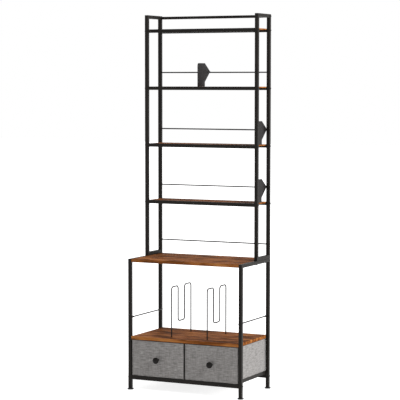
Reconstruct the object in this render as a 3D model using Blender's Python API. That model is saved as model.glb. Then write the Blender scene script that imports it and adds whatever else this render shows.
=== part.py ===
# Tall media rack: a steel tube tower of four narrow shelves on a deeper cabinet with two fabric drawers.
# Metres, +Z up, floor at Z = 0, front towards -Y. The origin is on the floor, midway in width and depth.
import math

import bmesh
import bpy
from mathutils import Matrix, Vector

# Frame
width = 0.600  # across the outer faces of the posts
depth = 0.330  # cabinet, front face to back face of the posts
height = 1.800
tube = 0.0165  # square tube of the posts and rails, with its coat
tube_wall = 0.0012
tube_corner = 0.0012  # radius along the tube's edges
rail_end_plate = 0.004  # closes a rail's end and takes its bolt
clearance = 0.0003  # left between pieces that touch
cabinet_height = 0.632  # top of the cabinet side frames and of the desk board
tower_depth = 0.155  # the tower stands at the back of the cabinet
low_rail_height = 0.020  # the cabinet's bottom rails are taller than the tube
front_rail_rise = 0.0507  # underside of the bottom front and back rails
runner_height = 0.0172  # upright leg of the angle that carries a drawer's outer edge
runner_reach = 0.0165  # its flat leg, under the drawer
runner_wall = 0.0015

# Shelves
shelf_count = 4
first_shelf_rise = 0.2728  # from the desk top to the lowest shelf's top
top_shelf_drop = 0.0687  # from the frame's top down to the highest shelf's top
shelf_board = 0.012
thick_board = 0.015
low_board_top = 0.2595
board_edge = 0.0006  # softened edge of every board
guard_size = 0.013  # square bar across the tower's top back
guard_drop = 0.0097  # from the frame's top to the guard's centre

# Welded tabs under the boards
tab_thickness = 0.0015
tab_reach = 0.014
tab_length = 0.020
tab_root = 0.001  # how far a tab is welded into its tube
rail_tab_inset = 0.090  # from a rail's end to its outer tabs
frame_tab_inset = 0.045  # from a side frame's front and back to its outer tabs

# Wires
rod_radius = 0.0030
rod_rise = 0.0685  # rear rod above the shelf it guards
side_rod_rise = 0.0925  # side rod above the lower board
eye_half_thickness = 0.001  # side rod's ends are pressed flat
eye_half_height = 0.0045
eye_length = 0.019
eye_taper = 0.010
eye_hole = 0.0022
divider_radius = 0.0030
divider_height = 0.241  # wire's centre line above the lower board
divider_drop = 0.070  # lowest bend above the lower board
divider_front = 0.057  # first leg behind the cabinet's front
divider_spacing = 0.0693  # between neighbouring legs
divider_legs = 4
divider_bend = 0.015
socket_depth = 0.010  # drilled in the lower board for the dividers' legs
wire_sides = 8

# Loop between the drawers
loop_radius = 0.0025
loop_inset = 0.004  # its upright's centre line behind the cabinet's front
loop_bend = 0.006

# Fasteners
bolt_hole = 0.0028
rod_screw_hole = 0.0022
joining_bolt_radius = 0.003
joining_bolt_length = 0.028
joining_bolt_head_radius = 0.0055
joining_bolt_head = 0.0030
joining_bolt_inset = 0.020  # rear bolt in front of the back posts
hole_sides = 8

# Feet
pad_radius = 0.015
pad_rim = 0.0050
pad_cone = 0.0015
pad_neck_radius = 0.0070
pad_neck = 0.0005
stud_radius = 0.0030
stud_length = 0.022
plug_flange = 0.0012
plug_length = 0.030

# Drawers
drawer_post_gap = 0.0035
drawer_loop_gap = 0.0010
drawer_top_gap = 0.0030
drawer_recess = 0.002  # drawer front behind the posts' front
drawer_back_gap = 0.005  # drawer back in front of the posts' back
drawer_wall = 0.0040
drawer_floor = 0.0020
drawer_corner = 0.004
hem_height = 0.012  # folded top edge, thicker than the wall below it
hem_extra = 0.0012
floor_board = 0.0040
front_board = 0.0030
panel_inset = 0.0040
knob_radius = 0.015
knob_face = 0.0045  # rise of the knob's domed face
knob_rim = 0.0060
knob_shoulder = 0.0050
knob_neck_radius = 0.0055
knob_neck = 0.0095
knob_foot_radius = 0.0080
knob_foot = 0.0030
knob_drop = 0.0030  # under the drawer's mid-height
knob_bore_depth = 0.014
knob_screw_radius = 0.0020
knob_screw_head_radius = 0.0045
knob_screw_head = 0.0025
turned_sides = 24
screw_sides = 12

# Bookends
plate = 0.0015
bookend_height = 0.112
bookend_front = 0.0085  # plate's front edge behind the tower's front
bookend_width = 0.079
bookend_low_step = 0.022  # straight stretch of the back edge above the shelf
bookend_corner = 0.012
saddle_wall = 0.0015
saddle_length = 0.014
saddle_sides = 10
middle_bookend_x = -0.019  # where the photographed one stands along its shelf

# Places worked out from the sizes above
knob_reach = knob_foot + knob_neck + knob_shoulder + knob_rim + knob_face
pad_reach = pad_radius - tube / 2
front_reach = max(pad_reach, knob_reach - drawer_recess)
front = front_reach - (front_reach + depth + pad_reach) / 2
back = front + depth
tower_front = back - tower_depth
inner = width / 2 - tube  # half the span between the side frames
span = inner - clearance  # half the length of what fits between them
foot_height = pad_rim + pad_cone + pad_neck
post_foot = foot_height + 2 * clearance + plug_flange
post_centre = width / 2 - tube / 2
back_post = back - tube / 2
low_board_under = low_board_top - thick_board
front_rail_top = front_rail_rise + low_rail_height


def shelf_top(level):
    """Top of a tower shelf, counted from the lowest."""
    lowest = cabinet_height + first_shelf_rise
    highest = height - top_shelf_drop
    return lowest + (highest - lowest) * level / (shelf_count - 1)


def clear_scene():
    for item in list(bpy.data.objects):
        bpy.data.objects.remove(item, do_unlink=True)


def finish(item, colour, roughness, metallic=0.0):
    """Give an object its own Principled material."""
    material = bpy.data.materials.new(item.name)
    material.use_nodes = True
    shader = material.node_tree.nodes["Principled BSDF"]
    shader.inputs["Base Color"].default_value = (*colour, 1.0)
    shader.inputs["Roughness"].default_value = roughness
    shader.inputs["Metallic"].default_value = metallic
    item.data.materials.clear()
    item.data.materials.append(material)
    return item


def coated_steel(item):
    return finish(item, (0.030, 0.029, 0.028), 0.42, 0.3)


def wood_board(item):
    return finish(item, (0.160, 0.075, 0.035), 0.55)


def add_object(name, shape):
    """Link a bmesh as a named object, with its faces pointing out."""
    bmesh.ops.recalc_face_normals(shape, faces=shape.faces)
    data = bpy.data.meshes.new(name)
    shape.to_mesh(data)
    shape.free()
    item = bpy.data.objects.new(name, data)
    bpy.context.scene.collection.objects.link(item)
    return item


def add_box(shape, low, high):
    """Add a box to a bmesh and return its new vertices."""
    low, high = Vector(low), Vector(high)
    place = Matrix.Translation((low + high) / 2) @ Matrix.Diagonal((*(high - low), 1))
    return bmesh.ops.create_cube(shape, size=1, matrix=place)["verts"]


def add_cylinder(shape, start, end, radius, sides):
    """Add a capped cylinder between two points, with a flat side up."""
    start, end = Vector(start), Vector(end)
    along = end - start
    turn = along.to_track_quat("Z", "Y").to_matrix().to_4x4()
    spin = Matrix.Rotation(math.pi / sides, 4, "Z")
    bmesh.ops.create_cone(
        shape, cap_ends=True, segments=sides, radius1=radius, radius2=radius, depth=along.length,
        matrix=Matrix.Translation((start + end) / 2) @ turn @ spin,
    )


def add_hole(shape, start, end, radius, sides=hole_sides):
    """Add a drill's shape, with its flats at the radius so that a round piece clears them."""
    add_cylinder(shape, start, end, radius / math.cos(math.pi / sides), sides)


def boolean(item, shape, operation, name, solver="EXACT"):
    """Join or cut an object with a hidden shape kept beside it."""
    cutter = add_object(name, shape)
    cutter.hide_render = True
    cutter.display_type = "WIRE"
    change = item.modifiers.new(name, "BOOLEAN")
    change.operation = operation
    change.solver = solver
    change.object = cutter


def smooth(item, degrees=35):
    item.data.shade_smooth()
    item.data.set_sharp_from_angle(angle=math.radians(degrees))
    return item


def bar(name, low, high, axis, corner=tube_corner):
    """A straight bar whose long edges are rounded."""
    shape = bmesh.new()
    add_box(shape, low, high)
    long_edges = [
        edge for edge in shape.edges
        if abs((edge.verts[0].co - edge.verts[1].co).normalized()["XYZ".index(axis)]) > 0.9
    ]
    bmesh.ops.bevel(shape, geom=long_edges, offset=corner, segments=2, profile=0.5, affect="EDGES")
    return add_object(name, shape)


def inset_lines(lines):
    """Inner faces of the tubes whose outer faces are paired in the list."""
    return [line + tube_wall if index % 2 == 0 else line - tube_wall for index, line in enumerate(lines)]


def ladder_shape(outer_x, inner_x, y_lines, z_lines, empty):
    """Grid cells between two X places, all filled except those named empty."""
    shape = bmesh.new()
    corners = {}

    def corner(row, column):
        key = (row, column)
        if key not in corners:
            corners[key] = shape.verts.new((outer_x, y_lines[column], z_lines[row]))
        return corners[key]

    for row in range(len(z_lines) - 1):
        for column in range(len(y_lines) - 1):
            if (row, column) not in empty:
                low = [corner(row, column), corner(row, column + 1)]
                high = [corner(row + 1, column + 1), corner(row + 1, column)]
                shape.faces.new(low + high)
    walls = bmesh.ops.extrude_face_region(shape, geom=list(shape.faces))["geom"]
    moved = [part for part in walls if isinstance(part, bmesh.types.BMVert)]
    bmesh.ops.translate(shape, verts=moved, vec=(inner_x - outer_x, 0, 0))
    return shape


def ladder(name, side, y_lines, z_lines, cavity_z_lines, empty):
    """A side frame of welded square tube, with its insides joined."""
    item = add_object(name, ladder_shape(side * width / 2, side * inner, y_lines, z_lines, empty))
    edge = item.modifiers.new("tube_corner", "BEVEL")
    edge.width = tube_corner
    edge.segments = 2
    edge.limit_method = "ANGLE"
    edge.angle_limit = math.radians(30)
    outer_x, inner_x = side * (width / 2 - tube_wall), side * (inner + tube_wall)
    cavity = ladder_shape(outer_x, inner_x, inset_lines(y_lines), cavity_z_lines, empty)
    boolean(item, cavity, "DIFFERENCE", name + "_inside")
    return item


def side_holes(side, places, radius):
    """Bolt holes right through a side frame, at (y, z) places."""
    shape = bmesh.new()
    for y, z in places:
        add_hole(shape, (side * (width / 2 + tube), y, z), (side * (inner - tube), y, z), radius)
    return shape


def joining_bolt_places():
    """Where bolts hold the tower on the cabinet: under its front posts, and in front of its back ones."""
    return [tower_front + tube / 2, back - tube - joining_bolt_inset]


def rod_levels():
    """Heights of the tower's rear rods: one over the desk and one over each shelf but the top one."""
    tops = [cabinet_height] + [shelf_top(level) for level in range(shelf_count - 1)]
    return [top + rod_rise for top in tops]


def tower_side_frame(side, name):
    bottom = cabinet_height + clearance
    y_lines = [tower_front, tower_front + tube, back - tube, back]
    z_lines = [bottom, bottom + tube, height - tube, height]
    solver = "MANIFOLD"  # keeps the frame closed where a hole's edge falls on a seam between two faces
    item = ladder(name, side, y_lines, z_lines, inset_lines(z_lines), {(1, 1)})
    rail_bolts = [
        (y, shelf_top(level) - tube / 2)
        for level in range(shelf_count) for y in (tower_front + tube / 2, back_post)
    ]
    rail_bolts.append((back_post, height - guard_drop))
    boolean(item, side_holes(side, rail_bolts, bolt_hole), "DIFFERENCE", name + "_bolt_holes", solver)
    rod_screws = side_holes(side, [(back_post, z) for z in rod_levels()], rod_screw_hole)
    boolean(item, rod_screws, "DIFFERENCE", name + "_rod_holes", solver)
    sockets = bmesh.new()
    for y in joining_bolt_places():
        x = side * post_centre
        top = cabinet_height - tube + joining_bolt_length + 2 * clearance
        add_hole(sockets, (x, y, bottom - tube), (x, y, top), joining_bolt_radius + clearance)
    boolean(item, sockets, "DIFFERENCE", name + "_sockets", solver)
    return coated_steel(item)


def side_tabs(side):
    """Plates welded to a cabinet side frame, under the desk board and under the lower board."""
    shape = bmesh.new()
    root = side * (inner + tab_root)
    tip = side * (inner - tab_reach)
    x_low, x_high = min(root, tip), max(root, tip)
    desk_tab_top = cabinet_height - thick_board - clearance
    for y in (front + frame_tab_inset, (front + back) / 2, back - frame_tab_inset):
        low = (x_low, y - tab_length / 2, desk_tab_top - tab_thickness)
        add_box(shape, low, (x_high, y + tab_length / 2, desk_tab_top))
    low_tab_top = low_board_under - clearance
    margin = 2 * tube_corner
    for y in (front, back - tube):
        low = (x_low, y + margin, low_tab_top - tab_thickness)
        add_box(shape, low, (x_high, y + tube - margin, low_tab_top))
    return shape


def drawer_runner(side):
    """An angle between the bottom rails, its upright leg beside the drawer and its flat leg under it."""
    outer, tip = side * inner, side * (inner - runner_reach)
    wall = side * (inner - runner_wall)
    low = front_rail_top - runner_wall
    high = low + runner_height
    outline = [
        (outer, low), (tip, low), (tip, front_rail_top), (wall, front_rail_top), (wall, high), (outer, high),
    ]
    ends = (front + tube + clearance, back - tube - clearance)
    return loft([[(x, y, z) for x, z in outline] for y in ends])

def runner_ends(side):
    """The upright leg's ends, which run on above the rails and are welded to the posts."""
    shape = bmesh.new()
    near, far = side * (inner - runner_wall + clearance), side * (inner + tab_root)
    x_low, x_high = min(near, far), max(near, far)
    low = front_rail_top + clearance
    high = front_rail_top - runner_wall + runner_height - clearance
    overlap = clearance + runner_wall
    margin = 2 * tube_corner
    for y_low, y_high in ((front + margin, front + tube + overlap), (back - tube - overlap, back - margin)):
        add_box(shape, (x_low, y_low, low), (x_high, y_high, high))
    return shape

def cabinet_side_frame(side, name):
    y_lines = [front, front + tube, back - tube, back]
    z_lines = [post_foot, cabinet_height - tube, cabinet_height]
    cavity_z_lines = [post_foot - tube] + inset_lines(z_lines[1:])
    item = ladder(name, side, y_lines, z_lines, cavity_z_lines, {(0, 1)})
    boolean(item, drawer_runner(side), "UNION", name + "_runner")
    boolean(item, runner_ends(side), "UNION", name + "_runner_ends")
    boolean(item, side_tabs(side), "UNION", name + "_tabs")
    posts = (front + tube / 2, back_post)
    rail_z = front_rail_rise + low_rail_height / 2
    rail_bolts = side_holes(side, [(y, rail_z) for y in posts], bolt_hole)
    boolean(item, rail_bolts, "DIFFERENCE", name + "_bolt_holes")
    rod_z = low_board_top + side_rod_rise
    rod_screws = side_holes(side, [(y, rod_z) for y in posts], rod_screw_hole)
    boolean(item, rod_screws, "DIFFERENCE", name + "_rod_holes")
    drilled = bmesh.new()
    x = side * post_centre
    for y in joining_bolt_places():
        low, high = (x, y, cabinet_height - 2 * tube), (x, y, cabinet_height + tube)
        add_hole(drilled, low, high, joining_bolt_radius + clearance)
    boolean(item, drilled, "DIFFERENCE", name + "_drilled")
    return coated_steel(item)


def cross_rail(name, y_low, z_low, wide, tall, tab_side=0, tab_top=0.0):
    """A hollow rail between the side frames, with end plates tapped for bolts.

    tab_side is +1 or -1 where tabs on its back or front carry a board.
    """
    y_high, z_high = y_low + wide, z_low + tall
    item = bar(name, (-span, y_low, z_low), (span, y_high, z_high), "X")
    inside = bmesh.new()
    reach = span - rail_end_plate
    low = (-reach, y_low + tube_wall, z_low + tube_wall)
    add_box(inside, low, (reach, y_high - tube_wall, z_high - tube_wall))
    boolean(item, inside, "DIFFERENCE", name + "_inside")
    if tab_side:
        tabs = bmesh.new()
        face = y_high if tab_side > 0 else y_low
        root, tip = face - tab_side * tab_root, face + tab_side * tab_reach
        for x in (-span + rail_tab_inset, 0, span - rail_tab_inset):
            low = (x - tab_length / 2, min(root, tip), tab_top - tab_thickness)
            add_box(tabs, low, (x + tab_length / 2, max(root, tip), tab_top))
        boolean(item, tabs, "UNION", name + "_tabs")
    bores = bmesh.new()
    y, z = y_low + wide / 2, z_low + tall / 2
    for side in (-1, 1):
        start, end = side * (span + rail_end_plate), side * (reach - rail_end_plate)
        add_hole(bores, (start, y, z), (end, y, z), bolt_hole)
    boolean(item, bores, "DIFFERENCE", name + "_bores")
    return coated_steel(item)


def board(name, y_low, y_high, top, thickness):
    """A flat board between the side frames with softened edges."""
    shape = bmesh.new()
    add_box(shape, (-span, y_low, top - thickness), (span, y_high, top))
    bmesh.ops.bevel(shape, geom=list(shape.edges), offset=board_edge, segments=1, affect="EDGES")
    return wood_board(add_object(name, shape))


def tower_shelf(level, place):
    """One tower shelf: a front rail, a back rail and the board held on their tabs."""
    top = shelf_top(level)
    tab_top = top - shelf_board - clearance
    cross_rail("shelf_rail_front_" + place, tower_front, top - tube, tube, tube, 1, tab_top)
    cross_rail("shelf_rail_back_" + place, back - tube, top - tube, tube, tube, -1, tab_top)
    inner_front, inner_back = tower_front + tube + clearance, back - tube - clearance
    board("shelf_board_" + place, inner_front, inner_back, top, shelf_board)


def rear_rod(name, z):
    """A round rod across the back, tapped at its ends for screws through the posts."""
    shape = bmesh.new()
    add_cylinder(shape, (-span, back_post, z), (span, back_post, z), rod_radius, wire_sides)
    return smooth(coated_steel(add_object(name, shape)))


def loft(sections):
    """Skin a bmesh over matching rings of points and close both ends."""
    shape = bmesh.new()
    rings = [[shape.verts.new(point) for point in ring] for ring in sections]
    count = len(rings[0])
    for near, far in zip(rings, rings[1:]):
        for k in range(count):
            following = (k + 1) % count
            shape.faces.new([near[k], near[following], far[following], far[k]])
    shape.faces.new(rings[0])
    shape.faces.new(list(reversed(rings[-1])))
    return shape


def side_rod(side, name):
    """A rod from front to back inside one side frame, with both ends pressed flat and drilled."""
    x = side * (span - eye_half_thickness)
    z = low_board_top + side_rod_rise
    stations = [
        (front + 2 * tube_corner, eye_half_thickness, eye_half_height),
        (front + eye_length, eye_half_thickness, eye_half_height),
        (front + eye_length + eye_taper, rod_radius, rod_radius),
        (back - eye_length - eye_taper, rod_radius, rod_radius),
        (back - eye_length, eye_half_thickness, eye_half_height),
        (back - 2 * tube_corner, eye_half_thickness, eye_half_height),
    ]
    turns = [2 * math.pi * (k + 0.5) / wire_sides for k in range(wire_sides)]
    flat = 1 / math.cos(math.pi / wire_sides)
    rings = [
        [(x + half_x * flat * math.cos(turn), y, z + half_z * flat * math.sin(turn)) for turn in turns]
        for y, half_x, half_z in stations
    ]
    item = add_object(name, loft(rings))
    eyes = bmesh.new()
    for y in (front + tube / 2, back_post):
        add_hole(eyes, (x - tube, y, z), (x + tube, y, z), eye_hole)
    boolean(item, eyes, "DIFFERENCE", name + "_eyes")
    return coated_steel(item)


def rounded_path(corners, radius, steps, closed=False):
    """Points along straight runs joined by arcs of one radius."""
    points = []
    count = len(corners)
    for index, corner in enumerate(corners):
        here = Vector(corner)
        if not closed and index in (0, count - 1):
            points.append(here)
            continue
        into = (here - Vector(corners[index - 1])).normalized()
        out = (Vector(corners[(index + 1) % count]) - here).normalized()
        centre = here - into * radius + out * radius
        for step in range(steps + 1):
            turn = math.pi / 2 * step / steps
            points.append(centre - out * radius * math.cos(turn) + into * radius * math.sin(turn))
    return points


def wire(name, points, radius, closed=False):
    """A round wire along a path, as a curve with a bevel and filled ends."""
    data = bpy.data.curves.new(name, "CURVE")
    data.dimensions = "3D"
    data.bevel_depth = radius
    data.bevel_resolution = 2
    data.use_fill_caps = not closed
    spline = data.splines.new("POLY")
    spline.points.add(len(points) - 1)
    for target, point in zip(spline.points, points):
        target.co = (*point, 1)
    spline.use_cyclic_u = closed
    item = bpy.data.objects.new(name, data)
    bpy.context.scene.collection.objects.link(item)
    return coated_steel(item)


def divider_leg_places():
    return [front + divider_front + divider_spacing * leg for leg in range(divider_legs)]


def wire_divider(x, name):
    """A record divider: one wire bent up and down, its end legs standing in the lower board's sockets."""
    foot = low_board_top - socket_depth + clearance
    top = low_board_top + divider_height
    bend = low_board_top + divider_drop
    legs = divider_leg_places()
    corners = [(x, legs[0], foot)]
    for index, (near, far) in enumerate(zip(legs, legs[1:])):
        level = top if index % 2 == 0 else bend
        corners += [(x, near, level), (x, far, level)]
    corners.append((x, legs[-1], foot))
    return wire(name, rounded_path(corners, divider_bend, 4), divider_radius)


def divider_places():
    """The dividers part the lower compartment into thirds."""
    return [-inner / 3, inner / 3]


def lower_board():
    item = board("lower_board", front, back, low_board_top, thick_board)
    sockets = bmesh.new()
    legs = divider_leg_places()
    for x in divider_places():
        for y in (legs[0], legs[-1]):
            low, high = (x, y, low_board_top - socket_depth), (x, y, low_board_top + socket_depth)
            add_hole(sockets, low, high, divider_radius + clearance)
    boolean(item, sockets, "DIFFERENCE", "lower_board_sockets")
    return item


def drawer_loop():
    """A wire loop between the drawers, from the bottom rails up to the lower board."""
    low = front_rail_top + clearance + loop_radius
    high = low_board_under - clearance - loop_radius
    near, far = front + loop_inset, back - loop_inset
    corners = [(0, near, low), (0, near, high), (0, far, high), (0, far, low)]
    return wire("drawer_loop", rounded_path(corners, loop_bend, 4, closed=True), loop_radius, closed=True)


def turned(name, profile, place, direction, sides=turned_sides):
    """A body of revolution; profile is (radius, distance along direction) from one end to the other."""
    shape = bmesh.new()
    rings = []
    for radius, along in profile:
        if radius == 0:
            rings.append([shape.verts.new((0, 0, along))])
            continue
        turns = [2 * math.pi * k / sides for k in range(sides)]
        rings.append([shape.verts.new((radius * math.cos(t), radius * math.sin(t), along)) for t in turns])
    for near, far in zip(rings, rings[1:]):
        for k in range(sides):
            following = (k + 1) % sides
            if len(near) == 1:
                shape.faces.new([near[0], far[following], far[k]])
            elif len(far) == 1:
                shape.faces.new([near[k], near[following], far[0]])
            else:
                shape.faces.new([near[k], near[following], far[following], far[k]])
    item = add_object(name, shape)
    item.location = place
    item.rotation_euler = Vector(direction).to_track_quat("Z", "Y").to_euler()
    return smooth(item)


def levelling_foot(x, y, name):
    """A moulded pad on a threaded stud that screws into the post's plug."""
    stud_top = foot_height + stud_length
    profile = [
        (0, 0), (pad_radius - pad_rim / 4, 0), (pad_radius, pad_rim / 4), (pad_radius, pad_rim * 3 / 4),
        (pad_radius - pad_rim / 4, pad_rim), (pad_neck_radius, pad_rim + pad_cone),
        (pad_neck_radius, foot_height), (stud_radius, foot_height),
        (stud_radius, stud_top - stud_radius / 2), (stud_radius / 2, stud_top), (0, stud_top),
    ]
    return finish(turned(name, profile, (x, y, 0), (0, 0, 1)), (0.012, 0.012, 0.012), 0.6)


def foot_plug(x, y, name):
    """The plastic plug in a post's end, with the stud's bore."""
    half = tube / 2 - tube_wall - clearance
    flange_top = post_foot - clearance
    shape = bmesh.new()
    low = (x - half, y - half, flange_top - plug_flange / 2)
    add_box(shape, low, (x + half, y + half, flange_top + plug_length))
    item = add_object(name, shape)
    flange = bmesh.new()
    half = tube / 2
    add_box(flange, (x - half, y - half, flange_top - plug_flange), (x + half, y + half, flange_top))
    boolean(item, flange, "UNION", name + "_flange")
    bore = bmesh.new()
    bore_top = foot_height + stud_length + 2 * clearance
    add_hole(bore, (x, y, 0), (x, y, bore_top), stud_radius + clearance, turned_sides)
    boolean(item, bore, "DIFFERENCE", name + "_bore")
    return finish(item, (0.015, 0.015, 0.015), 0.5)


def joining_bolt(x, y, name):
    """A bolt up through the cabinet's top rail into the tower's bottom rail."""
    seat = cabinet_height - tube - clearance
    radius = joining_bolt_radius
    shank_top = joining_bolt_length
    profile = [
        (0, -joining_bolt_head), (joining_bolt_head_radius * 0.6, -joining_bolt_head),
        (joining_bolt_head_radius, -joining_bolt_head / 2), (joining_bolt_head_radius, 0), (radius, 0),
        (radius, shank_top - radius / 2), (radius / 2, shank_top), (0, shank_top),
    ]
    item = turned(name, profile, (x, y, seat), (0, 0, 1), screw_sides)
    return finish(item, (0.030, 0.030, 0.030), 0.35, 0.6)


def rounded_rectangle(x_low, x_high, y_low, y_high, radius, steps=3):
    """Corner points of a rectangle with arcs at its corners, anticlockwise from above."""
    centres = [
        (x_high - radius, y_low + radius, -90), (x_high - radius, y_high - radius, 0),
        (x_low + radius, y_high - radius, 90), (x_low + radius, y_low + radius, 180),
    ]
    points = []
    for x, y, begin in centres:
        for step in range(steps + 1):
            turn = math.radians(begin + 90 * step / steps)
            points.append((x + radius * math.cos(turn), y + radius * math.sin(turn)))
    return points


def drawer_limits(side):
    """Outer X limits, Y limits and Z limits of one drawer."""
    near = side * (loop_radius + drawer_loop_gap)
    far = side * (inner - drawer_post_gap)
    y_low = front + drawer_recess
    y_high = back - drawer_back_gap
    z_low = front_rail_top + clearance
    z_high = low_board_under - drawer_top_gap
    return (min(near, far), max(near, far)), (y_low, y_high), (z_low, z_high)


def knob_place(side):
    x_limits, y_limits, z_limits = drawer_limits(side)
    return sum(x_limits) / 2, y_limits[0], sum(z_limits) / 2 - knob_drop


def drawer_box(side, name):
    """An open fabric box: stiffened walls, a floor and a folded hem that thickens the top edge inwards."""
    (x_low, x_high), (y_low, y_high), (z_low, z_high) = drawer_limits(side)

    def ring(inset, z):
        corner = max(drawer_corner - inset, drawer_corner / 4)
        outline = rounded_rectangle(x_low + inset, x_high - inset, y_low + inset, y_high - inset, corner)
        return [(x, y, z) for x, y in outline]

    hem_inset = drawer_wall + hem_extra
    item = add_object(name, loft([
        ring(drawer_wall / 4, z_low), ring(0, z_low + drawer_wall / 4), ring(0, z_high - hem_extra),
        ring(hem_extra, z_high), ring(hem_inset - hem_extra / 2, z_high), ring(hem_inset, z_high - hem_extra),
        ring(hem_inset, z_high - hem_height), ring(drawer_wall, z_high - hem_height - hem_extra),
        ring(drawer_wall, z_low + drawer_floor),
    ]))
    x, y, z = knob_place(side)
    hole = bmesh.new()
    reach = 2 * drawer_wall + front_board
    add_hole(hole, (x, y - reach, z), (x, y + reach, z), knob_screw_radius + clearance)
    boolean(item, hole, "DIFFERENCE", name + "_hole")
    return finish(smooth(item), (0.235, 0.230, 0.228), 0.95)


def drawer_floor_board(side, name):
    """The loose stiff panel on the drawer's floor."""
    (x_low, x_high), (y_low, y_high), (z_low, z_high) = drawer_limits(side)
    inset = drawer_wall + clearance
    bottom = z_low + drawer_floor + clearance
    limits = (x_low + inset, x_high - inset, y_low + inset, y_high - inset)
    outline = rounded_rectangle(*limits, drawer_corner / 2)
    sections = [[(x, y, z) for x, y in outline] for z in (bottom, bottom + floor_board)]
    return finish(add_object(name, loft(sections)), (0.100, 0.098, 0.096), 0.9)


def drawer_front_board(side, name):
    """The stiffener behind the drawer's front wall, which the knob's screw clamps."""
    (x_low, x_high), (y_low, y_high), (z_low, z_high) = drawer_limits(side)
    inset = drawer_wall + panel_inset
    y_near = y_low + drawer_wall + clearance
    bottom = z_low + drawer_floor + floor_board + 2 * clearance
    shape = bmesh.new()
    top = z_high - hem_height - hem_extra - panel_inset
    add_box(shape, (x_low + inset, y_near, bottom), (x_high - inset, y_near + front_board, top))
    item = add_object(name, shape)
    x, y, z = knob_place(side)
    hole = bmesh.new()
    add_hole(hole, (x, y, z), (x, y + 4 * drawer_wall, z), knob_screw_radius + clearance)
    boolean(item, hole, "DIFFERENCE", name + "_hole")
    return finish(item, (0.120, 0.100, 0.080), 0.8)


def drawer_knob(side, name):
    """A turned knob with a foot, a waist and a domed face, bored from behind for its screw."""
    x, y, z = knob_place(side)
    bore = knob_screw_radius + clearance
    waist = knob_foot + knob_neck
    shoulder = waist + knob_shoulder
    rim = shoulder + knob_rim
    profile = [
        (0, knob_bore_depth), (bore, knob_bore_depth), (bore, 0), (knob_foot_radius, 0),
        (knob_foot_radius, knob_foot * 2 / 3), (knob_neck_radius, knob_foot), (knob_neck_radius, waist),
        ((knob_neck_radius + knob_radius) / 2, waist + knob_shoulder * 0.35), (knob_radius, shoulder),
        (knob_radius, rim - knob_rim / 3), (knob_radius * 0.93, rim),
    ]
    for share in (0.75, 0.5, 0.25):
        rise = knob_face * (1 - share ** 2) - clearance
        profile.append((knob_radius * 0.93 * share, rim + rise))
    profile.append((0, rim + knob_face - clearance))
    place = (x, y - clearance, z)
    return finish(turned(name, profile, place, (0, -1, 0)), (0.020, 0.019, 0.018), 0.35, 0.4)


def knob_screw(side, name):
    """The screw from inside the drawer through its stiffener and front wall into the knob."""
    x, y, z = knob_place(side)
    seat = drawer_wall + front_board + 2 * clearance
    tip = seat + knob_bore_depth - 3 * clearance
    radius = knob_screw_radius
    profile = [
        (0, -knob_screw_head), (knob_screw_head_radius * 0.6, -knob_screw_head),
        (knob_screw_head_radius, -knob_screw_head / 3), (knob_screw_head_radius, 0), (radius, 0),
        (radius, tip - radius / 2), (radius / 2, tip), (0, tip),
    ]
    place = (x, y + seat, z)
    item = turned(name, profile, place, (0, -1, 0), screw_sides)
    return finish(item, (0.350, 0.350, 0.350), 0.35, 0.9)


def drawer(side, place):
    drawer_box(side, "drawer_box_" + place)
    drawer_floor_board(side, "drawer_floor_" + place)
    drawer_front_board(side, "drawer_front_board_" + place)
    drawer_knob(side, "knob_" + place)
    knob_screw(side, "knob_screw_" + place)


def bookend_outline():
    """The plate's edge as (y, z): front, rounded top, point at the rod and step at the back."""
    near = tower_front + bookend_front
    far = near + bookend_width
    radius = bookend_corner
    centre_y, centre_z = near + radius, bookend_height - radius
    points = [(far, 0), (near, 0)]
    for step in range(5):
        turn = math.radians(180 - 90 * step / 4)
        points.append((centre_y + radius * math.cos(turn), centre_z + radius * math.sin(turn)))
    points.append((far, bookend_height))
    tip = rod_radius + clearance + saddle_wall / 2
    for step in range(3):
        turn = math.radians(90 + 90 * step / 2)
        points.append((back_post + tip * math.cos(turn), rod_rise - clearance + tip * math.sin(turn)))
    points.append((far, bookend_low_step))
    return points


def saddle_points():
    """The saddle's section as (y, z): a hook open downwards that lies over the rod."""
    bore = (rod_radius + clearance) / math.cos(math.pi / (2 * saddle_sides))
    outer = bore + saddle_wall
    turns = [math.pi * k / saddle_sides for k in range(saddle_sides + 1)]
    arch = [(back_post + outer * math.cos(t), rod_rise + outer * math.sin(t)) for t in turns]
    inside = [(back_post + bore * math.cos(t), rod_rise + bore * math.sin(t)) for t in reversed(turns)]
    lip = rod_rise - rod_radius
    near_lip = [(back_post - outer, lip), (back_post - bore, lip)]
    return [(back_post + outer, lip)] + arch + near_lip + inside + [(back_post + bore, lip)]


def extrude_across(outline, x_low, x_high, z_base):
    """A plate of one (y, z) outline between two X places."""
    return loft([[(x, y, z_base + z) for y, z in outline] for x in (x_low, x_high)])


def bookend(level, place, x_middle):
    """A steel plate that stands on the shelf, its point hooked over the rear rod so that it slides along."""
    x_low, x_high = x_middle - plate / 2, x_middle + plate / 2
    top = shelf_top(level)
    item = add_object("bookend_" + place, extrude_across(bookend_outline(), x_low, x_high, top + clearance))
    saddle = extrude_across(saddle_points(), x_low - saddle_length, x_high, top)
    boolean(item, saddle, "UNION", "bookend_" + place + "_saddle")
    return coated_steel(item)


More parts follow.
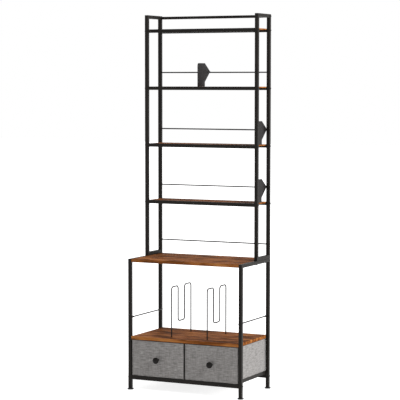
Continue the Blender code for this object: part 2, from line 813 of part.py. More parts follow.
def build():
    clear_scene()
    sides = ((-1, "left"), (1, "right"))
    for side, word in sides:
        tower_side_frame(side, "tower_side_frame_" + word)
        cabinet_side_frame(side, "cabinet_side_frame_" + word)
        side_rod(side, "side_rod_" + word)
        drawer(side, word)
        for y, end in ((front + tube / 2, "front"), (back_post, "back")):
            levelling_foot(side * post_centre, y, "foot_" + end + "_" + word)
            foot_plug(side * post_centre, y, "foot_plug_" + end + "_" + word)
        for y, end in zip(joining_bolt_places(), ("front", "back")):
            joining_bolt(side * post_centre, y, "joining_bolt_" + end + "_" + word)
    for level in range(shelf_count):
        tower_shelf(level, str(level + 1))
    for level, z in enumerate(rod_levels()):
        rear_rod("rear_rod_" + str(level), z)
    guard_low = height - guard_drop - guard_size / 2
    cross_rail("top_guard_rail", back_post - guard_size / 2, guard_low, guard_size, guard_size)
    cross_rail("cabinet_rail_front", front, front_rail_rise, tube, low_rail_height)
    cross_rail("cabinet_rail_back", back - tube, front_rail_rise, tube, low_rail_height)
    board("desk_board", front, back, cabinet_height, thick_board)
    lower_board()
    for x, word in zip(divider_places(), ("left", "right")):
        wire_divider(x, "record_divider_" + word)
    drawer_loop()
    end_x = span - plate / 2
    for level, x in ((0, end_x), (1, end_x), (2, middle_bookend_x)):
        bookend(level, str(level + 1), x)


build()
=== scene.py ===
import math

import bmesh
import bpy
from mathutils import Matrix, Vector, noise


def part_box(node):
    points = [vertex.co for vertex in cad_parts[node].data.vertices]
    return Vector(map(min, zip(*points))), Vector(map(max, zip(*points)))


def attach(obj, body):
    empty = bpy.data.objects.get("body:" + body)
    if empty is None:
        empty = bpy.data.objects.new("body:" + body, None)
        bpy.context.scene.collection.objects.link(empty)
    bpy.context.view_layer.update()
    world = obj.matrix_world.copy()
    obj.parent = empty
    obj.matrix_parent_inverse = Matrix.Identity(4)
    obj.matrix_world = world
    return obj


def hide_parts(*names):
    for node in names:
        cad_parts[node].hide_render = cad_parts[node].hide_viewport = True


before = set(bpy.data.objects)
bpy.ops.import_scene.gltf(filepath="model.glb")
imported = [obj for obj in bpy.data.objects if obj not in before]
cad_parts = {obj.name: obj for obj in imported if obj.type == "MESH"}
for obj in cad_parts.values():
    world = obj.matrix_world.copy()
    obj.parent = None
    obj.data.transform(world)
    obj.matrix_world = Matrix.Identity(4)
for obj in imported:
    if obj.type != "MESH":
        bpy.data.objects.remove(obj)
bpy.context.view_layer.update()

# Tall rack: four narrow shelves on a deeper cabinet with two cloth drawers.
# Metres, front towards -Y.

sideWords = {"left": -1, "right": 1}
cornerWords = ["%s_%s" % (end, word) for end in ("front", "back") for word in sideWords]


# Nodes

def fromHex(text):
    channels = [int(text[k:k + 2], 16) / 255 for k in (0, 2, 4)]
    linear = [c / 12.92 if c <= 0.04045 else ((c + 0.055) / 1.055) ** 2.4 for c in channels]
    return (*linear, 1.0)


def setNode(tree, node, settings):
    # lower-case names are the node's own, the rest are sockets with a value or with what feeds them
    for key, value in settings.items():
        if isinstance(value, bpy.types.Node):
            value = value.outputs[0]
        if isinstance(value, bpy.types.NodeSocket):
            tree.links.new(value, node.inputs[key])
        elif isinstance(key, int) or key in node.inputs:
            node.inputs[key].default_value = value
        else:
            setattr(node, key, value)
    return node


def addNode(tree, kind, settings=None):
    return setNode(tree, tree.nodes.new("ShaderNode" + kind), settings or {})


def calc(tree, operation, *values):
    return addNode(tree, "Math", {"operation": operation, **dict(enumerate(values))})


def blend(tree, share, first, second):
    return addNode(tree, "Mix", {"data_type": "FLOAT", 0: share, 2: first, 3: second})


def blendColours(tree, share, first, second):
    mix = addNode(tree, "Mix", {"data_type": "RGBA", 0: share, 6: first, 7: second})
    return mix.outputs[2]


def mapped(tree, value, low, high, toLow=0.0, toHigh=1.0, kind="LINEAR"):
    return addNode(tree, "MapRange", {
        "interpolation_type": kind, "Value": value, "From Min": low, "From Max": high,
        "To Min": toLow, "To Max": toHigh,
    })


def noiseAt(tree, spot, size, detail, roughness=0.5, distortion=0.0):
    # patches about "size" metres across
    return addNode(tree, "TexNoise", {
        "Vector": spot, "Scale": 1 / size, "Detail": detail, "Roughness": roughness,
        "Distortion": distortion,
    })


def ramp(tree, value, stops):
    # stops are (place, colour), from dark to light
    node = addNode(tree, "ValToRGB", {"Fac": value})
    elements = node.color_ramp.elements
    for index, (place, colour) in enumerate(stops):
        stop = elements[index] if index < 2 else elements.new(place)
        stop.position = place
        stop.color = fromHex(colour)
    return node


def bumpOf(tree, height, depth, strength=0.5):
    return addNode(tree, "Bump", {"Strength": strength, "Distance": depth, "Height": height})


def objectSpot(tree):
    return addNode(tree, "TexCoord").outputs["Object"]


def startFinish(name, surface):
    # a Principled material with its even values set on the shader itself
    finish = bpy.data.materials.new(name)
    finish.use_nodes = True
    tree = finish.node_tree
    return finish, tree, setNode(tree, tree.nodes["Principled BSDF"], surface)


# Powder-coated steel: polyester powder baked on tube, wire or sheet. It gives a soft, even,
# near-black gloss with a fine orange peel, a little uneven from place to place.
powderCoats = {
    "tube": {
        "tones": [(0.30, "191715"), (0.70, "24211e")], "peel": 0.0016, "depth": 0.00002,
        "rough": 0.46, "gloss": 0.10,
    },
    "wire": {
        "tones": [(0.30, "151311"), (0.70, "1f1c1a")], "peel": 0.0012, "depth": 0.000015,
        "rough": 0.40, "gloss": 0.10,
    },
    "sheet": {
        "tones": [(0.30, "1c1a1a"), (0.70, "282525")], "peel": 0.0014, "depth": 0.00002,
        "rough": 0.42, "gloss": 0.12,
    },
}
coatWear = {"patch": 0.0625, "roughSpread": 0.05, "peelStrength": 0.25}


def powderCoatedSteel(kind):
    coat, spread = powderCoats[kind], coatWear["roughSpread"]
    surface = {"IOR": 1.5, "Specular IOR Level": coat["gloss"]}
    finish, tree, shader = startFinish("powder coated steel " + kind, surface)
    peel = noiseAt(tree, objectSpot(tree), coat["peel"], 2.0)
    # patches about 60 mm across where the coat lies thicker
    patch = noiseAt(tree, objectSpot(tree), coatWear["patch"], 3.0)
    setNode(tree, shader, {
        "Base Color": ramp(tree, patch, coat["tones"]),
        "Roughness": mapped(tree, patch, 0.3, 0.7, coat["rough"] - spread, coat["rough"] + spread),
        "Normal": bumpOf(tree, peel, coat["depth"], coatWear["peelStrength"]),
    })
    return finish


# Melamine board with a rustic wood print: particle board under printed paper. Dark brown faces
# with long grain, knots and splits, and a lighter, warmer band round the edges.
boardPrint = {
    # size across the grain, stretch along it, then detail, roughness and distortion
    "fibre": (0.0040, 0.04, 3.0, 0.6), "vein": (0.014, 0.09, 4.0, 0.6, 0.6),
    "cloud": (0.070, 0.40, 4.0, 0.55), "split": (0.0045, 0.035, 1.0), "splitFrom": (0.64, 0.72),
    "ring": 0.030, "ringStretch": 0.16, "wavePitch": 0.314,
    "wave": {"Distortion": 14.0, "Detail": 4.0, "Detail Scale": 0.55, "Detail Roughness": 0.65},
    "knotAlong": 0.30, "knotAcross": 0.110, "knotEdge": (0.03, 0.13), "bendReach": 0.34,
    "bend": 9.0, "ringShare": 0.16, "cloudShare": 0.46, "fibreShare": 0.18, "markShare": 0.75,
    "rough": (0.50, 0.66), "depth": 0.00008, "knot": "24150d",
    "face": [(0.45, "4a2a13"), (0.50, "845031"), (0.56, "b07446")],
    "edge": [(0.43, "70401e"), (0.50, "9a5e30"), (0.58, "b67a44")],
}


def melamineBoard():
    paper = boardPrint
    surface = {"IOR": 1.5, "Specular IOR Level": 0.01}
    finish, tree, shader = startFinish("melamine board wood print", surface)
    place = addNode(tree, "TexCoord")

    def stretched(along, across=1.0):
        # the grain runs along X
        sizes = (along, across, across)
        spot = place.outputs["Object"]
        return addNode(tree, "VectorMath", {"operation": "MULTIPLY", 0: spot, 1: sizes})

    def layer(kind):
        size, stretch, *look = paper[kind]
        return noiseAt(tree, stretched(stretch), size, *look)

    # knots: one in each 300 x 110 mm or so, up to 50 mm long
    knotPlace = stretched(1 / paper["knotAlong"], 1 / paper["knotAcross"])
    knots = addNode(tree, "TexVoronoi", {"Scale": 1.0, "Randomness": 1.0, "Vector": knotPlace})
    knot = mapped(tree, knots, *paper["knotEdge"], 1.0, 0.0, "SMOOTHSTEP")
    bend = mapped(tree, knots, 0.0, paper["bendReach"], paper["bend"], 0.0, "SMOOTHSTEP")
    # year rings about 30 mm apart, wandering and bent round the knots
    rings = addNode(tree, "TexWave", {
        "bands_direction": "Y", "Scale": paper["wavePitch"] / paper["ring"], **paper["wave"],
        "Phase Offset": bend, "Vector": stretched(paper["ringStretch"]),
    })
    # fibres, drawn 4 mm wide because real ones of 0.3 mm are too fine to show
    fibres = layer("fibre")
    # veins of darker wood, and clouds where the stain lies deeper
    veins, clouds, splits = layer("vein"), layer("cloud"), layer("split")
    grain = blend(tree, paper["ringShare"], veins, rings.outputs["Fac"])
    grain = blend(tree, paper["cloudShare"], grain, clouds)
    grain = blend(tree, paper["fibreShare"], grain, fibres)
    face, edge = (ramp(tree, grain, paper[kind]) for kind in ("face", "edge"))
    normal = addNode(tree, "SeparateXYZ", {0: place.outputs["Normal"]})
    isEdge = calc(tree, "LESS_THAN", calc(tree, "ABSOLUTE", normal.outputs["Z"]), 0.5)
    board = blendColours(tree, isEdge, face, edge)
    marks = calc(tree, "MAXIMUM", knot, mapped(tree, splits, *paper["splitFrom"]))
    share = calc(tree, "MULTIPLY", marks, paper["markShare"])
    setNode(tree, shader, {
        "Base Color": blendColours(tree, share, board, fromHex(paper["knot"])),
        "Roughness": mapped(tree, fibres, 0.0, 1.0, *paper["rough"]),
        "Normal": bumpOf(tree, grain, paper["depth"]),
    })
    return finish


# Polyester cloth woven plain from mottled yarn: a heather grey with thick and thin yarns both
# ways and no gloss, only a faint sheen.
clothWeave = {
    "thread": 0.0016,  # real threads of 0.5 mm are too fine to show
    "slubWide": 0.0042, "slubLong": 0.034, "warpSeed": 7.3, "warpShare": 0.30,
    # the two gap numbers are painted shade: how much darker the gaps between threads are drawn
    "heather": 0.0125, "heatherShare": 0.14, "gapShadeDepth": 0.10, "gapShadeDrop": -0.06,
    "facing": 0.7, "crossing": (-0.5, 0.5),
    "depth": 0.00025, "tones": [(0.34, "6f6c6b"), (0.50, "8e8b89"), (0.66, "aba8a6")],
}


def wovenCloth():
    weave = clothWeave
    surface = {
        "Roughness": 0.95, "IOR": 1.45, "Specular IOR Level": 0.15, "Sheen Weight": 0.20,
        "Sheen Roughness": 0.5,
    }
    finish, tree, shader = startFinish("woven heather cloth", surface)
    place = addNode(tree, "TexCoord")
    spot = addNode(tree, "SeparateXYZ", {0: place.outputs["Object"]})
    size = addNode(tree, "VectorMath", {"operation": "ABSOLUTE", 0: place.outputs["Normal"]})
    facing = addNode(tree, "SeparateXYZ", {0: size})
    isSide = calc(tree, "GREATER_THAN", facing.outputs["X"], weave["facing"])
    isFlat = calc(tree, "GREATER_THAN", facing.outputs["Z"], weave["facing"])
    along = blend(tree, isSide, spot.outputs["X"], spot.outputs["Y"])
    upward = blend(tree, isFlat, spot.outputs["Z"], spot.outputs["Y"])

    def threads(distance):
        wave = calc(tree, "SINE", calc(tree, "MULTIPLY", distance, math.pi / weave["thread"]))
        return wave, calc(tree, "ABSOLUTE", wave)

    def slubs(first, second, seed):
        # yarn that swells for a stretch, long along the first way
        longer = calc(tree, "MULTIPLY", first, 1 / weave["slubLong"])
        wider = calc(tree, "MULTIPLY", second, 1 / weave["slubWide"])
        spread = addNode(tree, "CombineXYZ", {"X": longer, "Y": wider, "Z": seed})
        return noiseAt(tree, spread, 1.0, 2.0, 0.7)

    warpWave, warpHump = threads(along)
    weftWave, weftHump = threads(upward)
    onTop = mapped(tree, calc(tree, "MULTIPLY", warpWave, weftWave), *weave["crossing"])
    height = blend(tree, onTop, weftHump, warpHump)
    # more of the weft shows, and heather patches about 12 mm across
    weft, warp = slubs(along, upward, 0.0), slubs(upward, along, weave["warpSeed"])
    yarn = blend(tree, weave["warpShare"], weft, warp)
    heather = noiseAt(tree, place.outputs["Object"], weave["heather"], 3.0, 0.65)
    mottled = blend(tree, weave["heatherShare"], yarn, heather)
    # painted shade: the gaps between threads are drawn darker in the colour
    shaded = calc(tree, "MULTIPLY_ADD", height, weave["gapShadeDepth"], weave["gapShadeDrop"])
    setNode(tree, shader, {
        "Base Color": ramp(tree, calc(tree, "ADD", mottled, shaded), weave["tones"]),
        "Normal": bumpOf(tree, height, weave["depth"]),
    })
    return finish


# Polypropylene felt, spunbonded: dark grey lining with pressed dots 2.5 mm apart in tangled fibres.
feltSheet = {
    "tones": [(0.25, "4a4847"), (0.70, "636160")], "dot": 0.0025, "dotEdge": (0.18, 0.34),
    "fibre": 0.0012, "depth": 0.0002,
}


def spunbondedFelt():
    surface = {"Roughness": 0.88, "Specular IOR Level": 0.2, "Sheen Weight": 0.15}
    finish, tree, shader = startFinish("spunbonded felt lining", surface)
    spot = objectSpot(tree)
    fibres = noiseAt(tree, spot, feltSheet["fibre"], 4.0, 0.5, 2.0)
    dotted = {"Scale": 1 / feltSheet["dot"], "Randomness": 0.15, "Vector": spot}
    press = mapped(tree, addNode(tree, "TexVoronoi", dotted), *feltSheet["dotEdge"])
    height = calc(tree, "MULTIPLY", press, fibres)
    setNode(tree, shader, {
        "Base Color": ramp(tree, fibres, feltSheet["tones"]),
        "Normal": bumpOf(tree, height, feltSheet["depth"]),
    })
    return finish


# Medium-density fibreboard, pressed and sawn: dull tan with short fibres and darker flecks.
fibreBoard = {"tones": [(0.32, "6f5a40"), (0.62, "8f7859")], "fleck": 0.0018, "depth": 0.0001}


def rawFibreboard():
    surface = {"Roughness": 0.85, "Specular IOR Level": 0.25}
    finish, tree, shader = startFinish("raw fibreboard", surface)
    flecks = noiseAt(tree, objectSpot(tree), fibreBoard["fleck"], 5.0, 0.7)
    setNode(tree, shader, {
        "Base Color": ramp(tree, flecks, fibreBoard["tones"]),
        "Normal": bumpOf(tree, flecks, fibreBoard["depth"], 0.4),
    })
    return finish


# Small hard parts: a base colour with fine grit, wear or streaks in it, each from its own recipe.
hardParts = {
    # stoved enamel on cast zinc: smooth, satin black, a faint dip here and there
    "satin black enamel": {
        "surface": {"IOR": 1.5, "Specular IOR Level": 0.10},
        "tones": [(0.35, "110f0e"), (0.65, "1a1816")],
        "grit": 0.004, "depth": 0.00004, "rough": (0.30, 0.40),
    },
    # polypropylene, moulded in a spark-eroded tool: matt black with a fine even grain
    "moulded polypropylene": {
        "surface": {"IOR": 1.49, "Specular IOR Level": 0.35},
        "tones": [(0.35, "141312"), (0.65, "1f1e1d")],
        "grit": 0.0007, "depth": 0.00006, "rough": (0.50, 0.62),
    },
    # black oxide on turned steel: dark metal that still glints, patchy where the oil dried
    "black oxide steel": {
        "surface": {"Metallic": 0.6}, "tones": [(0.35, "1b1a1a"), (0.65, "343231")],
        "grit": 0.0015, "depth": 0.00003, "rough": (0.34, 0.48),
    },
    # zinc plate on steel: bright, slightly blue and cloudy
    "zinc plated steel": {
        "surface": {"Metallic": 1.0}, "tones": [(0.35, "9c9fa3"), (0.65, "c6c8ca")],
        "grit": 0.0020, "depth": 0.00002, "rough": (0.26, 0.40),
    },
    # twisted polyester sewing thread: a little darker than the cloth, with a soft shine
    "polyester sewing thread": {
        "surface": {"Specular IOR Level": 0.3, "Sheen Weight": 0.3},
        "tones": [(0.35, "6c6968"), (0.65, "8e8b89")],
        "grit": 0.0008, "depth": 0.00010, "rough": (0.60, 0.75),
    },
}
wearAcross = 1 / 70  # cloudy wear, about 14 mm across


def hardFinish(name):
    recipe = hardParts[name]
    finish, tree, shader = startFinish(name, recipe["surface"])
    spot = objectSpot(tree)
    grit = noiseAt(tree, spot, recipe["grit"], 3.0)
    cloud = noiseAt(tree, spot, wearAcross, 2.0)
    setNode(tree, shader, {
        "Base Color": ramp(tree, blend(tree, 0.5, grit, cloud), recipe["tones"]),
        "Roughness": mapped(tree, cloud, 0.3, 0.7, *recipe["rough"]),
        "Normal": bumpOf(tree, grit, recipe["depth"]),
    })
    return finish


# every finish, paired with a slot name
finishes = {
    "tube": (powderCoatedSteel("tube"), "coated_steel"),
    "wire": (powderCoatedSteel("wire"), "coated_wire"),
    "sheet": (powderCoatedSteel("sheet"), "coated_sheet"),
    "wood": (melamineBoard(), "wood_board"),
    "cloth": (wovenCloth(), "grey_fabric"),
    "felt": (spunbondedFelt(), "lining_fabric"),
    "stiffener": (rawFibreboard(), "stiffener_board"),
    "enamel": (hardFinish("satin black enamel"), "knob_metal"),
    "plastic": (hardFinish("moulded polypropylene"), "black_plastic"),
    "blackSteel": (hardFinish("black oxide steel"), "black_screw"),
    "zincSteel": (hardFinish("zinc plated steel"), "zinc_screw"),
    "thread": (hardFinish("polyester sewing thread"), "grey_fabric"),
}
print("finishes mixed")


# Making meshes

def addObject(name, data):
    thing = bpy.data.objects.new(name, data)
    bpy.context.scene.collection.objects.link(thing)
    return thing


def toObject(name, shape):
    data = bpy.data.meshes.new(name)
    shape.to_mesh(data)
    shape.free()
    return addObject(name, data)


def makePiece(name, shape, kind, replaced=(), body="frame", sharpAngle=38):
    finish, slotName = finishes[kind]
    bmesh.ops.recalc_face_normals(shape, faces=shape.faces)
    piece = toObject(name, shape)
    piece.data.materials.append(finish)
    piece.data.shade_smooth()
    piece.data.set_sharp_from_angle(angle=math.radians(sharpAngle))
    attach(piece, body)
    if replaced:
        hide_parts(*replaced)


def addSkin(shape, rings, closed=False):
    # joins equal rings of points; a ring of one point closes to a tip
    loops = [[shape.verts.new(point) for point in ring] for ring in rings]
    count = max(len(loop) for loop in loops)
    pairs = list(zip(loops, loops[1:]))
    if closed:
        pairs.append((loops[-1], loops[0]))
    for near, far in pairs:
        for k in range(count):
            after = (k + 1) % count
            if len(near) == 1:
                shape.faces.new((near[0], far[after], far[k]))
            elif len(far) == 1:
                shape.faces.new((near[k], near[after], far[0]))
            else:
                shape.faces.new((near[k], near[after], far[after], far[k]))
    if not closed:
        for loop in (loops[0], loops[-1]):
            if len(loop) > 1:
                shape.faces.new(loop)


def skinOf(rings):
    shape = bmesh.new()
    addSkin(shape, rings)
    return shape


def addWire(shape, points, radius, sideways, sides=20, closed=False, chamfer=0.0004):
    # a round wire whose path lies in the plane across "sideways"
    points = [Vector(point) for point in points]
    sideways = Vector(sideways)
    turns = [2 * math.pi * step / sides for step in range(sides)]
    rings = []
    count = len(points)
    for k, point in enumerate(points):
        before = points[k - 1] if closed or k else point
        after = points[(k + 1) % count] if closed or k < count - 1 else point
        ahead = (after - before).normalized()
        up = ahead.cross(sideways)
        ring = [sideways * math.cos(turn) + up * math.sin(turn) for turn in turns]
        if closed or k not in (0, count - 1):
            rings.append([point + spoke * radius for spoke in ring])
            continue
        inward = ahead if k == 0 else -ahead
        tip = [point + spoke * (radius - chamfer) for spoke in ring]
        shoulder = [point + inward * chamfer + spoke * radius for spoke in ring]
        rings += [tip, shoulder] if k == 0 else [shoulder, tip]
    addSkin(shape, rings, closed)


def roundCorners(corners, closed=True):
    # corners are (first, second, radius); arcs are cut in 8
    points = []
    count = len(corners)
    for k, (a, b, radius) in enumerate(corners):
        here = Vector((a, b))
        if radius == 0 or (not closed and k in (0, count - 1)):
            points.append(here)
            continue
        back = (Vector(corners[k - 1][:2]) - here).normalized()
        on = (Vector(corners[(k + 1) % count][:2]) - here).normalized()
        half = back.angle(on) / 2
        centre = here + (back + on).normalized() * (radius / math.sin(half))
        start = here + back * (radius / math.tan(half)) - centre
        sweep = (math.pi - 2 * half) * (1 if back.cross(on) < 0 else -1)
        for step in range(9):
            turn = sweep * step / 8
            turned = Vector((
                start.x * math.cos(turn) - start.y * math.sin(turn),
                start.x * math.sin(turn) + start.y * math.cos(turn),
            ))
            points.append(centre + turned)
    return points


def placed(place, direction):
    toDirection = Vector(direction).to_track_quat("Z", "Y").to_matrix().to_4x4()
    return Matrix.Translation(place) @ toDirection


def addTurned(shape, profile, matrix, sides, phase=0.0):
    # profile is (radius, distance along the axis); a list of radii gives each side its own
    turns = [2 * math.pi * (k + phase) / sides for k in range(sides)]
    rings = []
    for radius, along in profile:
        if radius == 0:
            rings.append([matrix @ Vector((0, 0, along))])
            continue
        radii = radius if isinstance(radius, list) else [radius] * sides
        rings.append([
            matrix @ Vector((r * math.cos(t), r * math.sin(t), along)) for r, t in zip(radii, turns)
        ])
    addSkin(shape, rings)


def arc(centre, radius, start, end, steps):
    # points of a profile, angles in degrees
    turns = [math.radians(start + (end - start) * k / steps) for k in range(steps + 1)]
    return [(centre[0] + radius * math.cos(t), centre[1] + radius * math.sin(t)) for t in turns]


def quarterTurns(steps):
    # sine and rise of a quarter circle, step by step
    for step in range(1, steps + 1):
        turn = step / steps * math.pi / 2
        yield math.sin(turn), 1 - math.cos(turn)


screwForm = {
    "sides": 24, "crossArm": 0.30, "crossLeast": 0.01, "floorShare": 0.92, "floorCone": 0.0002,
    "mouth": 0.0001, "crown": 1.22, "rim": 0.0005, "ease": 0.0002,
}


def recess(kind, size, turn):
    # reach of a driver's recess at an angle: six-sided socket or cross
    if kind == "socket":
        within = (turn + math.pi / 6) % (math.pi / 3) - math.pi / 6
        return size * math.cos(math.pi / 6) / math.cos(within)
    within = (turn + math.pi / 4) % (math.pi / 2) - math.pi / 4
    arm = size * screwForm["crossArm"] / max(abs(math.sin(within)), screwForm["crossLeast"])
    return min(size / math.cos(within), arm)


def addScrew(shape, screw, seat, direction):
    # head outside the seat, shank along the direction
    sides, ease = screwForm["sides"], screwForm["ease"]
    head, rise, shank, long = (screw[key] for key in ("head", "rise", "shank", "long"))
    turns = [2 * math.pi * (k + 0.5) / sides for k in range(sides)]
    reach = [recess(screw["driver"], screw["driverSize"], turn) for turn in turns]
    floorAt = -rise + screw["driverDeep"]
    crown = screw["driverSize"] * screwForm["crown"]
    profile = [
        (0, floorAt + screwForm["floorCone"]),
        ([r * screwForm["floorShare"] for r in reach], floorAt),
        (reach, -rise + screwForm["mouth"]), (crown, -rise),
    ]
    for out, down in quarterTurns(5):
        profile.append((crown + (head - crown) * out, -rise + (rise - screwForm["rim"]) * down))
    profile += [(head, -ease), (head - ease, 0), (shank, 0), (shank, long - shank / 2)]
    profile += [(shank / 2, long), (0, long)]
    addTurned(shape, profile, placed(seat, direction), sides, 0.5)


def fourCorners(xLow, yLow, xHigh, yHigh):
    return [(xLow, yLow), (xHigh, yLow), (xHigh, yHigh), (xLow, yHigh)]


def addBlock(shape, low, high):
    corners = fourCorners(*low[:2], *high[:2])
    addSkin(shape, [[(x, y, z) for x, y in corners] for z in (low[2], high[2])])


def mergedShape(first, second):
    # one closed skin round two solids
    items = []
    for shape in (first, second):
        bmesh.ops.recalc_face_normals(shape, faces=shape.faces)
        items.append(toObject("mergePart", shape))
    union = items[0].modifiers.new("union", "BOOLEAN")
    union.operation = "UNION"
    union.solver = "EXACT"
    union.object = items[1]
    depsgraph = bpy.context.evaluated_depsgraph_get()
    merged = bmesh.new()
    merged.from_mesh(items[0].evaluated_get(depsgraph).to_mesh())
    for item in items:
        bpy.data.objects.remove(item, do_unlink=True)
    return merged


def middle(node):
    low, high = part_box(node)
    return (low + high) / 2


# Camera, floor and light

view = {
    "place": (3.490373, -7.120954, 1.470276), "turn": 0.454818, "tilt": 0.070005,
    "roll": 0.000647, "lens": 149.475, "sensor": 36.0,
}


def placeCamera():
    data = bpy.data.cameras.new("camera")
    data.lens = view["lens"]
    data.sensor_width = view["sensor"]
    data.clip_end = 100
    camera = addObject("camera", data)
    turn = Matrix.Rotation(view["turn"], 4, "Z")
    turn = turn @ Matrix.Rotation(math.pi / 2 - view["tilt"], 4, "X")
    turn = turn @ Matrix.Rotation(view["roll"], 4, "Z")
    camera.matrix_world = Matrix.Translation(view["place"]) @ turn
    bpy.context.scene.camera = camera


studio = {
    "keyFrom": (0.85, -0.10, 0.50), "key": 3.2, "keySoftness": 40.0, "fill": 0.42,
    "floor": "f2f2f2", "floorGlow": 0.80, "floorSize": 60.0,
}


def seenRays(tree, path):
    # 1 where the camera or a mirror looks, 0 for light on its way
    return calc(tree, "MAXIMUM", path.outputs["Is Camera Ray"], path.outputs["Is Glossy Ray"])


def lightStudio():
    scene = bpy.context.scene
    scene.view_settings.view_transform = "Standard"
    key = bpy.data.lights.new("key", "SUN")
    key.energy = studio["key"]
    key.angle = math.radians(studio["keySoftness"])
    lamp = addObject("key", key)
    lamp.rotation_mode = "QUATERNION"
    lamp.rotation_quaternion = Vector(studio["keyFrom"]).to_track_quat("Z", "Y")
    world = bpy.data.worlds.new("studio")
    scene.world = world
    world.use_nodes = True
    tree = world.node_tree
    path = addNode(tree, "LightPath")
    through = calc(tree, "MAXIMUM", seenRays(tree, path), path.outputs["Is Transmission Ray"])
    strength = mapped(tree, through, 0.0, 1.0, studio["fill"], 1.0)
    setNode(tree, tree.nodes["Background"], {"Color": (1, 1, 1, 1), "Strength": strength})


def layFloor():
    half = studio["floorSize"] / 2
    shape = bmesh.new()
    sheet = fourCorners(-half, -half, half, half)
    shape.faces.new([shape.verts.new((x, y, 0)) for x, y in sheet])
    plane = toObject("floor", shape)
    # white paper sweep, lifted to white for the camera and still taking the shadow
    finish, tree, shader = startFinish("paper sweep", {
        "Roughness": 1.0, "Specular IOR Level": 0.0, "Base Color": fromHex(studio["floor"]),
        "Emission Color": (1, 1, 1, 1),
    })
    seen = seenRays(tree, addNode(tree, "LightPath"))
    glow = calc(tree, "MULTIPLY", seen, studio["floorGlow"])
    setNode(tree, shader, {"Emission Strength": glow})
    plane.data.materials.append(finish)


placeCamera()
lightStudio()
layFloor()
print("camera, light and floor placed")


# Frame, desk and lower board keep their CAD shapes

keptNodes = {
    "tube": [
        "tower_side_frame_left", "tower_side_frame_right", "cabinet_side_frame_left",
        "cabinet_side_frame_right", "top_guard_rail", "cabinet_rail_front", "cabinet_rail_back",
    ],
    "wood": ["desk_board", "lower_board"],
    "plastic": ["foot_plug_" + corner for corner in cornerWords],
    "stiffener": ["drawer_front_board_" + word for word in sideWords],
}

for kind, names in keptNodes.items():
    for nodeName in names:
        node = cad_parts[nodeName]
        if not node.material_slots:
            node.data.materials.append(None)
        for materialSlot in node.material_slots:
            materialSlot.material = finishes[kind][0]
print("frame and boards finished")


# Places shared by several pieces

tube = {"wide": 0.0165, "outerX": 0.300, "innerX": 0.2835}
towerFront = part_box("tower_side_frame_left")[0].y
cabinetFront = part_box("cabinet_side_frame_left")[0].y
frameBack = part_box("cabinet_side_frame_left")[1].y
frontPostY = cabinetFront + tube["wide"] / 2
backPostY = frameBack - tube["wide"] / 2
towerPostY = towerFront + tube["wide"] / 2
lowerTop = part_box("lower_board")[1].z


# Tower shelves. Their boards are thinner than the solids, so the tabs that carry them sit higher.

tabs = {
    "reach": 0.014, "thick": 0.0015, "long": 0.020, "root": 0.001, "railX": 0.1932,
    "frameY": 0.045, "gap": 0.0003,
}
shelf = {"board": 0.006, "softEdge": 0.0006, "corner": 0.0012, "bore": 0.0028, "boreDeep": 0.0042}


def shelfUnder(level):
    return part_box("shelf_board_%d" % level)[1].z - shelf["board"]


def railBar(xLow, xHigh, yLow, zLow):
    # a square bar across X with a blind bore in each end for its screw
    half = tube["wide"] / 2
    y, z = yLow + half, zLow + half
    bore, deep = shelf["bore"], shelf["boreDeep"]
    section = fourCorners(-half, -half, half, half)
    outline = roundCorners([(a, b, shelf["corner"]) for a, b in section])
    # 36 points on both rings, matched corner by corner
    turns = [math.radians(185 + 10 * k) for k in range(len(outline))]
    circle = [(bore * math.cos(turn), bore * math.sin(turn)) for turn in turns]

    def ring(points, x):
        return [(x, y + point[0], z + point[1]) for point in points]

    return skinOf([
        [(xLow + deep, y, z)], ring(circle, xLow + deep), ring(circle, xLow), ring(outline, xLow),
        ring(outline, xHigh), ring(circle, xHigh), ring(circle, xHigh - deep),
        [(xHigh - deep, y, z)],
    ])


def makeShelves():
    for level in range(1, 5):
        under = shelfUnder(level)
        for end, towards in (("front", 1), ("back", -1)):
            node = "shelf_rail_%s_%d" % (end, level)
            low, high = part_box(node)
            yLow = low.y if towards > 0 else high.y - tube["wide"]
            face = yLow + tube["wide"] if towards > 0 else yLow
            ys = sorted((face - towards * tabs["root"], face + towards * tabs["reach"]))
            tabTop, half = under - tabs["gap"], tabs["long"] / 2
            welded = bmesh.new()
            for x in (-tabs["railX"], 0, tabs["railX"]):
                tabLow = (x - half, ys[0], tabTop - tabs["thick"])
                addBlock(welded, tabLow, (x + half, ys[1], tabTop))
            bar = railBar(low.x, high.x, yLow, low.z)
            name = "shelf_bar_%s_%d" % (end, level)
            makePiece(name, mergedShape(bar, welded), "tube", [node])
        node = "shelf_board_%d" % level
        low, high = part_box(node)
        shape = bmesh.new()
        addBlock(shape, (low.x, low.y, under), high)
        edges = list(shape.edges)
        bmesh.ops.bevel(shape, geom=edges, offset=shelf["softEdge"], segments=2, affect="EDGES")
        makePiece("shelf_plank_%d" % level, shape, "wood", [node])


makeShelves()
print("tower shelves made")


# Round rods and bent wires

wires = {
    "rod": 0.0030, "loop": 0.0025, "loopBend": 0.006, "dividerBend": 0.015, "dividerDrop": 0.070,
}


def makeRearRods():
    for level in range(4):
        node = "rear_rod_%d" % level
        low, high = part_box(node)
        y, z = middle(node).yz
        shape = bmesh.new()
        addWire(shape, [(x, y, z) for x in (low.x, 0, high.x)], wires["rod"], (0, 1, 0), 24)
        makePiece("rod_%d" % level, shape, "wire", [node])


